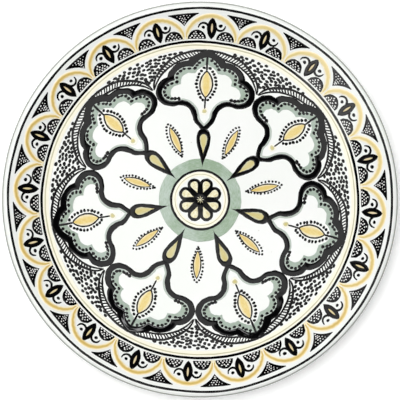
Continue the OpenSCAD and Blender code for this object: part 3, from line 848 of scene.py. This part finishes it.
dome = {
    "u": 9.9,
    "v": 113.9,
    "radius": 6.4,
    "nearer": 0.35,        # the flat side lies this much nearer the middle
    # height above the flat side, reach to each side, number of dashes
    "rows": [(0.75, 4.4, 5), (2.15, 3.7, 4), (3.5, 2.3, 3), (4.7, 0.7, 1)],
    "dash": [0.64, 0.5],
}


def halfDisc(radius, v0, n=25):
    # flat side and round side of a half disc, station by station
    t = np.linspace(0, np.pi, n)
    u = -radius * np.cos(t)
    return np.stack([u, np.full(n, v0)], -1), np.stack([u, v0 + radius * np.sin(t)], -1)


def inDomes(curve):
    # both half discs of every arch, each turned to stand on the well's black circle
    tilt = math.degrees(math.atan2(dome["u"], dome["v"]))
    axes = np.concatenate([archAxes - tilt, archAxes + tilt])
    return roundAbout(curve, axes)


def makeDomes():
    # two black half discs under each arch
    v0 = math.hypot(dome["u"], dome["v"]) - dome["nearer"]
    low, top = halfDisc(dome["radius"], v0)
    brushed("scaleDomes", unsteady(inDomes(low), 0.07), unsteady(inDomes(top), 0.09), layer["black"],
            blackEnamel, "black_enamel", ["scale_domes"], grow=ink["dome"])
    # scales scratched through to the white glaze: short dashes in rows along the flat side
    at = np.concatenate([np.stack([np.linspace(-reach, reach, count), np.full(count, v0 + v)], -1)
                         for v, reach, count in dome["rows"]])
    spots = inDomes(at).reshape(-1, 2)
    spots += rng.uniform(-0.28, 0.28, spots.shape)
    size = rng.uniform(0.75, 1.2, (len(spots), 2)) * dome["dash"]
    dotted("domeScales", spots, size, layer["onBlack"], scratchedWhite, "glaze",
           base=layer["black"] - 0.01, sides=8)


spandrel = {
    "topR": 132.2,         # radius of the upper edge
    "corner": 10.8,        # reach to each side
    "side": 21.4,          # radius of the two lower edges
    # radius, reach to each side, number of dashes
    "rows": [(130.6, 4.6, 5), (129.2, 2.9, 4), (127.8, 1.5, 3), (126.4, 0.6, 2), (124.9, 0, 1)],
    "dash": [0.52, 0.42],
}


def makeSpandrels():
    # the black triangle between arches: a flat arc above, two circles about the arches' centres below
    u = spandrel["corner"] * np.sin(np.linspace(-np.pi / 2, np.pi / 2, 41))
    top = np.stack([u, np.sqrt(spandrel["topR"] ** 2 - u * u)], -1)
    cx = arches["centre"] * sinD(180 / arches["count"])
    cy = arches["centre"] * cosD(180 / arches["count"])
    low = np.stack([u, cy + np.sqrt(spandrel["side"] ** 2 - (np.abs(u) - cx) ** 2)], -1)
    low[:, 1] = np.minimum(low[:, 1], top[:, 1])
    brushed("spandrelFills", roundAbout(top, spandrelAxes), roundAbout(low, spandrelAxes), layer["black"],
            blackEnamel, "black_enamel", ["spandrels"], grow=ink["spandrel"])
    # scratched scales, largest in the middle
    at = np.concatenate([np.stack([np.linspace(-reach, reach, count), np.full(count, v)], -1)
                         for v, reach, count in spandrel["rows"]])
    spots = roundAbout(at, spandrelAxes).reshape(-1, 2)
    spots += rng.uniform(-0.25, 0.25, spots.shape)
    near = np.tile(1.15 - np.abs(at[:, 0]) * 0.1, (len(spandrelAxes), 1)).reshape(-1, 1)
    size = near * rng.uniform(0.75, 1.15, (len(spots), 2)) * spandrel["dash"]
    dotted("spandrelScales", spots, size, layer["onBlack"], scratchedWhite, "glaze",
           base=layer["black"] - 0.01, sides=8)


makeRimLines()
makeArches()
makeLeaves()
makeTendrils()
makeDomes()
makeSpandrels()
print("rim: done")

palmette = {
    # right half of the black band, from the top down to the waist; runs meet in corners
    "outer": [
        [(0, 106.2), (3.6, 104.9), (7, 103.2), (10.2, 101.2), (13.3, 97.9)],
        [(13.3, 97.9), (17, 97.2), (21, 95.2), (24.6, 91.9), (26.8, 88.4), (27.4, 85.5)],
        [(27.4, 85.5), (30.6, 83.8), (33.2, 80.6), (34.7, 75.8), (33.6, 70.3), (30.5, 67.2), (26.6, 65.7),
         (21.5, 65.6), (16.5, 66.6), (12.6, 65.8), (10, 63.2), (8.5, 60.2), (7.6, 57)],
        [(7.6, 57), (6.3, 54.9), (4.2, 52.6), (2.2, 50.3)],
    ],
    "inner": [
        [(0.01, 101.5), (2.6, 100.6), (5.1, 99.3), (7.6, 96.9), (9.8, 93.8)],
        [(9.8, 93.8), (13.6, 93.8), (17.2, 92.9), (20.2, 91), (22.3, 88.2), (22.7, 85.9), (22.1, 83.6)],
        [(22.1, 83.6), (25.2, 82.4), (28.2, 80.2), (30.6, 75.9), (30, 72.3), (28, 70.2), (25.3, 69.1),
         (21.4, 69), (17, 70.2), (12.4, 69.5), (8.8, 67.3), (5.8, 63), (4.7, 58)],
        [(4.7, 58), (3.6, 56.1), (2, 54.2), (0.2, 52.6)],
    ],
    "stations": [14, 18, 52, 8],
    # inner edge of the green wash
    "wash": [
        [(0.9, 95.3), (3.6, 94.1), (6, 92.2), (8.1, 89.4)],
        [(8.1, 89.4), (12, 89.2), (15.6, 87.8), (17.7, 84.6), (17.5, 81.1)],
        [(17.5, 81.1), (20.6, 80.3), (23, 78.6), (24.4, 75.6), (23.8, 72.4), (22.6, 70.4)],
    ],
    "dots": [(3.2, 99.1), (5.6, 97.1), (7.2, 95.2), (8.6, 92.8), (12.6, 92.6), (16.1, 92.1), (18.6, 90.5),
             (20.5, 88.4), (20.7, 85.7), (20.4, 82.7), (24.1, 81.4), (26.8, 80.2), (28.6, 77.9), (29, 75.2),
             (28.1, 72.7), (26, 71.4), (23.3, 70.7), (20.9, 70.8), (18.4, 71.1)],
    "dotRadius": 1.12,
    "liner": (0.25, 0.8),   # the pale line runs between these depths inside the band
    "shade": 1.5,           # width of the neck's grey shade
    # stems above and below the almond: points, width at the start, width at the end
    "stems": [([(0.05, 101.8), (-0.1, 96), (0, 91.6)], 1.5, 1.0),
              ([(0, 72.6), (-0.1, 68), (0, 64.8)], 0.85, 0.7)],
}


def bothHalves(half):
    # the right half from the top down, then its mirror back up to the top
    return np.concatenate([half, mirrored(half)[::-1][:-1]])


def bothSides(strokes):
    # strokes to the right of every palmette's axis and their mirrors to its left, as one array for each edge
    sides = [(roundAbout(f(a), palmetteAxes), roundAbout(f(b), palmetteAxes))
             for a, b in strokes for f in (np.array, mirrored)]
    return [np.concatenate(edge) for edge in zip(*sides)]


def makeOutlines():
    # the wide black band of every palmette, and the stems of its almond
    outer = bothHalves(joined(palmette["outer"], palmette["stations"]))
    inner = bothHalves(joined(palmette["inner"], palmette["stations"]))
    a = unsteady(roundAbout(outer, palmetteAxes), 0.12, 8)
    b = unsteady(roundAbout(inner, palmetteAxes), 0.12, 8)
    brushed("palmetteOutlines", a, b, layer["black"], blackEnamel, "black_enamel", ["palmette_outlines"],
            across=10, closed=True, flat=True, grow=ink["wide"])
    stems = [edgesOf(through(points, 8), np.linspace(start, end, 8))
             for points, start, end in palmette["stems"]]
    one, two = (np.concatenate([roundAbout(edge, palmetteAxes) for edge in edges]) for edges in zip(*stems))
    brushed("palmetteStems", unsteady(one, 0.05), unsteady(two, 0.05), layer["black"],
            blackEnamel, "black_enamel", across=5, grow=ink["fine"])


def makeWashes():
    # green between the band and the wash's own scalloped edge, on both sides
    counts = [14, 18, 22]
    edge = joined(palmette["wash"], counts)
    runs = palmette["inner"][:2] + [palmette["inner"][2][:8]]
    band = joined(runs, counts)
    band[:, 0] = np.maximum(band[:, 0], 0.6)
    one, two = bothSides([(band, edge)])
    brushed("palmetteWashes", one, unsteady(two, 0.12, 6), layer["wash"], greenWash, "green_wash",
            ["palmette_washes"], across=9)
    # a pale line between the band and the wash, and a soft grey shade up the inside of the neck
    lined = joined(runs, [16, 20, 30])[2:]
    lined[:, 0] = np.maximum(lined[:, 0], 0.6)
    away = edgesOf(lined, 2 * palmette["liner"][1])[1] - lined
    a, b = lined + away * palmette["liner"][0] / palmette["liner"][1], lined + away
    neck = joined(palmette["inner"][2:], [60, 14])[34:]
    neck, far = edgesOf(neck, 0.01)[0], edgesOf(neck, np.interp(
        np.linspace(0, 1, len(neck)), [0, 0.25, 1], [0.6, 1, 1]) * 2 * palmette["shade"])[1]
    far[:, 0] = np.maximum(far[:, 0], 0.05)
    for name, stroke, height, base, material in [
            ("washLiners", (a, b), 0.02, layer["wash"], linerPale),
            ("neckShades", (neck, far), 0.03, 0, shadeGreen)]:
        one, two = bothSides([stroke])
        brushed(name, one, unsteady(two, 0.08, 6), height, material, "green_wash", base=base, across=6)


def spread(points, axes, jitter, both=True):
    # motif points on every axis, and mirrored too, each moved a little
    p = np.array(points, float)
    p = np.concatenate([p, mirrored(p)]) if both else p
    spots = roundAbout(p, axes).reshape(-1, 2)
    return spots + rng.uniform(-jitter, jitter, spots.shape)


def touches(count, radius, wide=1.12, tall=0.95, vary=0.12):
    # the two radii of each touch, along the ring and out from the middle, each varied by hand
    return (radius + ink["dot"]) * rng.uniform(1 - vary, 1 + vary, (count, 2)) * [wide, tall]


def makePalmetteDots():
    # dots on the wash along the inside of every band
    spots = spread(palmette["dots"], palmetteAxes, 0.17)
    dotted("palmetteDots", spots, touches(len(spots), palmette["dotRadius"]), layer["black"],
           blackEnamel, "black_enamel", ["palmette_dots"])


heart = {
    "v": 82.1,
    "half": 9.8,           # half the almond's length
    "width": 4.8,          # half its width
    "line": 0.8,
    "dots": [(2.2, 93.4), (3.9, 91.3), (5.2, 89.2), (6.1, 86.9), (6.8, 84.5), (6.9, 82.2), (6.6, 79.5),
             (5.6, 77.2), (4.7, 75.1), (3.4, 72.9), (1.8, 71.1)],
    "dotRadius": 0.88,
    "budAt": (-0.2, 63.2),
    "bud": 1.5,
    "halo": 2.6,
}


def ringedAlmond(shape, axes, names, nodes, fillMaterial):
    # an almond's thin outline and its translucent heart, which reaches under the line
    v, half, width, line = (shape[key] for key in ("v", "half", "width", "line"))
    outer = almond(v, half, width, 24)
    inner = almond(v, half - 1.5 * line, width - line, 24)
    lean = rng.uniform(-0.2, 0.2, (len(axes), 1, 2))
    a, b = roundAbout(loopOf(*outer), axes) + lean, roundAbout(loopOf(*inner), axes) + lean
    brushed(names[0], unsteady(a, 0.06), unsteady(b, 0.06), layer["black"], thinBlack, "black_enamel",
            [nodes[0]], across=5, closed=True, grow=ink["fine"])
    right, left = (roundAbout(h, axes) + lean for h in almond(v, half - 1.2 * line, width - 0.8 * line, 24))
    brushed(names[1], left, right, layer["ochre"], fillMaterial, "ochre_enamel", [nodes[1]], across=9)


def makeHearts():
    # the palmettes' almonds, the dots round them, and the buds with their pale halos
    ringedAlmond(heart, palmetteAxes, ("palmetteAlmonds", "palmetteHearts"),
                 ("palmette_almonds", "palmette_hearts"), heartOchre)
    spots = spread(heart["dots"], palmetteAxes, 0.18)
    dotted("almondDots", spots, touches(len(spots), heart["dotRadius"], 1.05, 0.92), layer["black"],
           blackEnamel, "black_enamel", ["palmette_almond_dots"])
    at = roundAbout([heart["budAt"]], palmetteAxes).reshape(-1, 2)
    dotted("palmetteBuds", at, touches(len(at), heart["bud"], 1, 1), layer["ochre"],
           paleOchre, "pale_ochre_enamel", ["palmette_buds"], sides=20)
    dotted("budHalos", at, touches(len(at), heart["halo"], 1, 1), 0.02, creamWash, "cream_wash", sides=24)


rope = {
    "outer": [(0, 106.0), (5, 105.5), (10, 104.8), (15, 103.4), (20, 101.5), (25, 98.6), (28.2, 95.6),
              (31.2, 92.1), (34, 88), (36, 83.6), (36.6, 79.8), (36.2, 76)],
    "inner": [(8, 101.4), (12, 100), (15, 99), (20, 96.9), (25, 93.7), (30, 89.1), (33, 84.8), (35, 80.2),
              (35.8, 76.4)],
    "widths": (1.3, 1.0),  # outer line, inner line
    # along the lines, and the share of the width there
    "taper": ([0, 0.1, 0.45, 0.7, 0.9, 1], [0.9, 1.05, 0.95, 1.15, 0.8, 0.4]),
    "ticks": 18,
    "tick": 0.62,          # width of a tick
    "tickStarts": [(3.4, 103.9), (5.5, 105.4)],
}


def makeRope():
    # two brush lines over each palmette, twisted together by short slanting ticks
    lines = []
    for key, width in zip(("outer", "inner"), rope["widths"]):
        path = evenly(through(rope[key], 90), 48)
        lines.append(edgesOf(path, width * np.interp(np.linspace(0, 1, 48), *rope["taper"])))
    one, two = bothSides(lines)
    brushed("ropeLines", unsteady(one, 0.07, 7), unsteady(two, 0.07, 7), layer["black"],
            blackEnamel, "black_enamel", ["rope_arcs"], across=5, grow=ink["fine"])
    # a tick leans away from the palmette's axis on its way out
    lowStart, highStart = rope["tickStarts"]
    low = evenly(through([lowStart] + rope["inner"][:-1], 90), rope["ticks"] + 3)[:rope["ticks"]]
    high = evenly(through([highStart] + rope["outer"][2:-2], 90), rope["ticks"] + 1)[:rope["ticks"]]
    ticks = []
    for k in range(rope["ticks"]):
        bow = (low[k] + high[k]) / 2 + [0.25, -0.1]
        width = rope["tick"] * np.array([0.8, 0.9, 1, 1.1, 1.1, 1]) * (1 + 0.5 * k / rope["ticks"])
        ticks.append(edgesOf(through([low[k], bow, high[k]], 6), width))
    left, right = bothSides(ticks)
    shift = rng.uniform(-0.18, 0.18, (len(left), 1, 2))
    brushed("ropeTicks", left + shift, right + shift, layer["black"] * 0.8, blackEnamel, "black_enamel",
            across=4, grow=ink["tick"])


field = {
    # loose dots between two ropes, denser in staggered rows towards the well's edge
    "dots": [(-27.1, 101.7), (-24.6, 101), (-22.4, 102.8), (-20.4, 101.5), (-18.4, 103.3), (-17, 100.4),
             (-15.3, 102), (-14.4, 104), (-13.6, 99.5), (-11.5, 102), (-9.7, 98.7), (-9.7, 104.5),
             (-8.4, 96.3), (-8.1, 101.1), (-6.9, 103.4), (-6.6, 98.8), (-4.8, 100.4), (-5, 95.1),
             (-3.8, 105.2), (-3.8, 102.6), (-3.8, 98), (-2.7, 91.8), (-2.1, 93.7), (-1.8, 96.4),
             (-1.5, 100), (-1.1, 103.3), (-1, 89.7), (1.5, 94.1), (1.6, 91), (1.8, 96.4), (2, 101.9),
             (2, 99.3), (2.5, 104.2), (3.7, 93.2), (4.4, 97.8), (4.6, 102.5), (4.6, 100.2), (5, 95.5),
             (5.9, 104.4), (7.4, 99), (8, 96.8), (8.2, 101.5), (9, 103.8), (10.1, 100.6), (10.9, 97.8),
             (11.6, 102.3), (12.9, 104), (13.8, 99.1), (15, 101.5), (16.6, 103.2), (18.3, 101.3),
             (20.4, 102.6), (23.4, 101.9), (27.7, 101.4)],
    "radius": 1.0,
}


def makeDotField():
    # the field's dots in every gap between two palmettes
    spots = spread(field["dots"], petalAxes, 0.35, both=False)
    dotted("dotField", spots, touches(len(spots), field["radius"], 1.22, 0.86, 0.15), layer["black"],
           blackEnamel, "black_enamel", ["dot_field"])


makeOutlines()
makeWashes()
makePalmetteDots()
makeHearts()
makeRope()
makeDotField()
print("palmettes: done")

petal = {
    "v": 46.0,
    "half": 10.3,
    "width": 2.9,
    "line": 0.6,
    # the right side and then the left, which differ a little
    "dots": [(1.3, 56.8), (2.25, 54.7), (2.9, 52.8), (3.5, 50.5), (3.8, 48.2), (3.5, 45.9), (3.4, 43.1),
             (2.7, 41), (2, 38.9), (1.4, 36.6), (0.6, 34.7), (-0.2, 58.3),
             (-1.9, 56.8), (-3, 54.8), (-3.7, 52.6), (-4.2, 50.2), (-4.3, 47.6), (-4.3, 45), (-3.6, 42.5),
             (-3.1, 40.2), (-2.5, 38.2), (-1.6, 36.3), (-0.7, 34.5), (-0.2, 33.3)],
    "dotRadius": 0.6,
}


def makePetals():
    # the dotted almonds between the drops
    ringedAlmond(petal, petalAxes, ("petalAlmonds", "petalHearts"), ("petal_almonds", "petal_hearts"),
                 petalOchre)
    spots = spread(petal["dots"], petalAxes, 0.1, both=False)
    dotted("petalDots", spots, touches(len(spots), petal["dotRadius"], 1.0, 1), layer["black"],
           blackEnamel, "black_enamel", ["petal_dots"])


drop = {"tip": 22.4, "end": 50.9, "width": 4.95, "heartTip": 32.8, "heartEnd": 46.8, "heartWidth": 2.8,
        "under": 0.3}  # how far the heart's ochre reaches under the black


def makeDrops():
    # a black teardrop below each palmette round its pale heart
    outer = teardrop(drop["tip"], drop["end"], drop["width"], 34)
    inner = teardrop(drop["heartTip"], drop["heartEnd"], drop["heartWidth"], 34)
    a, b = roundAbout(loopOf(*outer), palmetteAxes), roundAbout(loopOf(*inner), palmetteAxes)
    brushed("drops", unsteady(a, 0.08), unsteady(b, 0.08), layer["black"], blackEnamel, "black_enamel",
            ["drops"], across=10, closed=True, flat=True, grow=ink["wide"])
    right, left = (roundAbout(h, palmetteAxes) for h in teardrop(
        drop["heartTip"] - drop["under"], drop["heartEnd"] + drop["under"], drop["heartWidth"] + 0.2, 30))
    brushed("dropHearts", left, right, layer["ochre"], paleOchre, "pale_ochre_enamel", ["drop_hearts"],
            across=9)


rosette = {
    "count": 8,
    "first": 25.35,        # azimuth of the first petal, in degrees
    "end": 15.7,
    "lobeAt": 10.97,       # centre of a lobe's circle
    "heartTip": 5.0,
    "heartEnd": 13.6,
    "heartWidth": 2.6,
    "star": 2.7,
    "starHollow": 0.5,
}
rosetteAxes = rosette["first"] + 360 / rosette["count"] * np.arange(rosette["count"])


def makeMiddle():
    # the green ring, the medallion's circles, and the rosette
    ring("centreGreen", *circles["green"], layer["wash"], ringGreen, "green_wash", ["centre_green"],
         uneven=0.12, across=13)
    ring("medallionLine", *circles["medallion"], layer["black"], blackEnamel, "black_enamel",
         ["medallion_line"])
    ring("medallionCream", *circles["medallionCream"], layer["wash"], creamWash, "cream_wash",
         ["medallion_cream"], across=9)
    ring("medallionFineLine", *circles["fine"], 0.02, beigeLine, "cream_wash", base=layer["wash"])
    # eight lobes: in each sector a circle of radius rho about a point on its axis at c, so the radius is
    # c cos a plus the root of rho squared less c squared sin squared a
    t = np.arange(240) * 2 * np.pi / 240
    sector = 2 * np.pi / rosette["count"]
    a = (t - math.radians(rosette["first"]) + sector / 2) % sector - sector / 2
    rho = rosette["end"] - rosette["lobeAt"] + 0.1
    r = rosette["lobeAt"] * np.cos(a) + np.sqrt(rho ** 2 - (rosette["lobeAt"] * np.sin(a)) ** 2)
    unit = np.stack([np.cos(t), np.sin(t)], -1)
    brushed("rosettePetals", unit[None] * 0.5, unsteady((unit * r[:, None])[None], 0.07), layer["black"],
            blackEnamel, "black_enamel", ["rosette"], across=12, closed=True, flat=True)
    right, left = (roundAbout(h, rosetteAxes) for h in teardrop(
        rosette["heartTip"], rosette["heartEnd"], rosette["heartWidth"], 24))
    brushed("rosetteHearts", left, right, 0.04, rosettePale, "pale_ochre_enamel", ["rosette_hearts"],
            base=layer["black"])
    # a small pale star on the strokes' meeting point: its points are the seventh power of a cosine
    a = t - math.radians(rosette["first"]) + sector / 2
    points = np.abs(np.cos(a * rosette["count"] / 2)) ** 7
    r = rosette["starHollow"] + (rosette["star"] - rosette["starHollow"]) * points
    star = unit * r[:, None]
    brushed("rosetteCentre", star * 0.12, star, 0.03, rosettePale, "pale_ochre_enamel", ["rosette_centre"],
            base=layer["black"], across=6, closed=True)


makePetals()
makeDrops()
makeMiddle()
print("middle: done")

# metres and degrees: the camera's height, how much it sees, its turn, and how far it stands off the middle
view = {"distance": 5.5, "width": 0.2825, "roll": 2.85, "offX": 0.000035, "offY": -0.00039}


def inView(x, y):
    # right and up as the camera sees them, turned by its roll into the plate's own axes
    return (x * cosD(view["roll"]) - y * sinD(view["roll"]), x * sinD(view["roll"]) + y * cosD(view["roll"]))


def card(name, corners, strength):
    # a flat card that only reflections see
    me = bpy.data.meshes.new(name)
    me.from_pydata([tuple(c) for c in corners], [], [tuple(range(len(corners)))])
    ob = bpy.data.objects.new(name, me)
    bpy.context.scene.collection.objects.link(ob)
    me.materials.append(cardMaterial(name, strength))
    ob.visible_camera = False
    ob.visible_diffuse = False
    ob.visible_shadow = False
    ob.visible_transmission = False


def levelCard(name, points, height, strength):
    # a level card over the plate
    card(name, [inView(x, y) + (height,) for x, y in points], strength)


def facingCard(name, azimuth, zenith, distance, width, tall, strength):
    # a card whose middle lies in the given direction from the plate's, square to that line
    az = math.radians(azimuth + view["roll"])
    ze = math.radians(zenith)
    out = np.array([math.sin(ze) * math.cos(az), math.sin(ze) * math.sin(az), math.cos(ze)])
    side = np.array([-math.sin(az), math.cos(az), 0])
    up = np.cross(out, side)
    corners = ((-1, -1), (1, -1), (1, 1), (-1, 1))
    card(name, [out * distance + side * sx * width / 2 + up * sy * tall / 2 for sx, sy in corners], strength)


def softLight(name, x, y, z, size, power):
    # a round lamp that faces the plate's middle, and that reflections don't see
    data = bpy.data.lights.new(name, "AREA")
    data.shape = "DISK"
    data.size = size
    data.energy = power
    ob = bpy.data.objects.new(name, data)
    bpy.context.scene.collection.objects.link(ob)
    px, py = inView(x, y)
    ob.location = (px, py, z)
    away = np.array([px, py, z])
    ob.rotation_euler = (math.acos(z / np.linalg.norm(away)), 0, math.atan2(py, px) + math.pi / 2)
    ob.visible_glossy = False


# powers and strengths, and the key light's size and place in metres
light = {"key": 67.0, "keySize": 1.8, "keyHeight": 2.3, "keyShift": 0.38, "ceiling": 1.0, "lamp": 7.0,
         "leftBox": 1.8, "rearBox": 0.9, "surround": 0.012}
# the cards as the camera sees them, right and up: a wide ceiling, a dark patch in it and a bright strip
cards = {
    "ceiling": [(-1.7, -1.7), (1.7, -1.7), (1.7, 1.7), (-1.7, 1.7)],
    "ceilingHeight": 2.5,
    "dark": [(-0.03, 0.005), (0.02, -0.012), (0.12, -0.02), (0.2, -0.06), (0.4, -0.04), (0.42, 0.16),
             (0.3, 0.34), (0.06, 0.42), (-0.2, 0.38), (-0.3, 0.2), (-0.15, 0.12), (-0.03, 0.07)],
    "darkHeight": 1.5,
    "lamp": [(0.185, 0.15), (0.215, 0.18), (0.08, 0.29), (-0.08, 0.28), (-0.075, 0.235), (0.06, 0.245)],
    "lampHeight": 1.49,
}
# the floor lies a hair below the foot, so that the two faces don't meet
table = {"reach": 6.0, "below": 0.0001, "glow": 0.2}


def makeStage():
    # the pale floor, the key light, the cards and the grey of the world
    floorMat, nodes, links, shader = newMaterial("paleFloor")
    at = nodes.new("ShaderNodeTexCoord").outputs["Object"]
    links.new(rampNode(nodes, links, noiseNode(nodes, links, at, 6, 3), [
        (0.3, linear((246, 246, 246))), (0.7, linear((250, 250, 250)))]), shader.inputs["Base Color"])
    shader.inputs["Roughness"].default_value = 0.9
    shader.inputs["Emission Color"].default_value = (1, 1, 1, 1)
    shader.inputs["Emission Strength"].default_value = table["glow"]
    me = bpy.data.meshes.new("paleFloor")
    s, z = table["reach"], -table["below"]
    me.from_pydata([(-s, -s, z), (s, -s, z), (s, s, z), (-s, s, z)], [], [(0, 1, 2, 3)])
    floor = bpy.data.objects.new("paleFloor", me)
    bpy.context.scene.collection.objects.link(floor)
    me.materials.append(floorMat)
    shift = light["keyShift"] / math.sqrt(2)
    softLight("keyLight", -shift, shift, light["keyHeight"], light["keySize"], light["key"])
    levelCard("ceiling", cards["ceiling"], cards["ceilingHeight"], light["ceiling"])
    levelCard("darkCard", cards["dark"], cards["darkHeight"], 0.0)
    levelCard("lampStrip", cards["lamp"], cards["lampHeight"], light["lamp"])
    facingCard("leftBox", 217, 45, 2.2, 1.0, 1.3, light["leftBox"])
    facingCard("rearBox", 143, 50, 2.2, 0.8, 0.8, light["rearBox"])
    world = bpy.data.worlds.new("studio")
    bpy.context.scene.world = world
    world.use_nodes = True
    nodes, links = world.node_tree.nodes, world.node_tree.links
    seen = nodes["Background"]
    seen.inputs["Color"].default_value = (0.9, 0.9, 0.9, 1)
    surround = nodes.new("ShaderNodeBackground")
    surround.inputs["Color"].default_value = (light["surround"],) * 3 + (1,)
    pick = nodes.new("ShaderNodeMixShader")
    links.new(nodes.new("ShaderNodeLightPath").outputs["Is Camera Ray"], pick.inputs[0])
    links.new(surround.outputs[0], pick.inputs[1])
    links.new(seen.outputs[0], pick.inputs[2])
    links.new(pick.outputs[0], nodes["World Output"].inputs["Surface"])


def makeCamera():
    # straight down, with a lens that sees the view's width at the height of the lip
    data = bpy.data.cameras.new("camera")
    data.sensor_width = 36
    data.lens = 36 * (view["distance"] - cadBox[1][2]) / view["width"]
    data.clip_end = 100
    cam = bpy.data.objects.new("camera", data)
    bpy.context.scene.collection.objects.link(cam)
    cam.location = inView(view["offX"], view["offY"]) + (view["distance"],)
    cam.rotation_euler = (0, 0, math.radians(view["roll"]))
    bpy.context.scene.camera = cam
    bpy.context.scene.view_settings.view_transform = "Standard"


makeStage()
makeCamera()
print("stage: done")
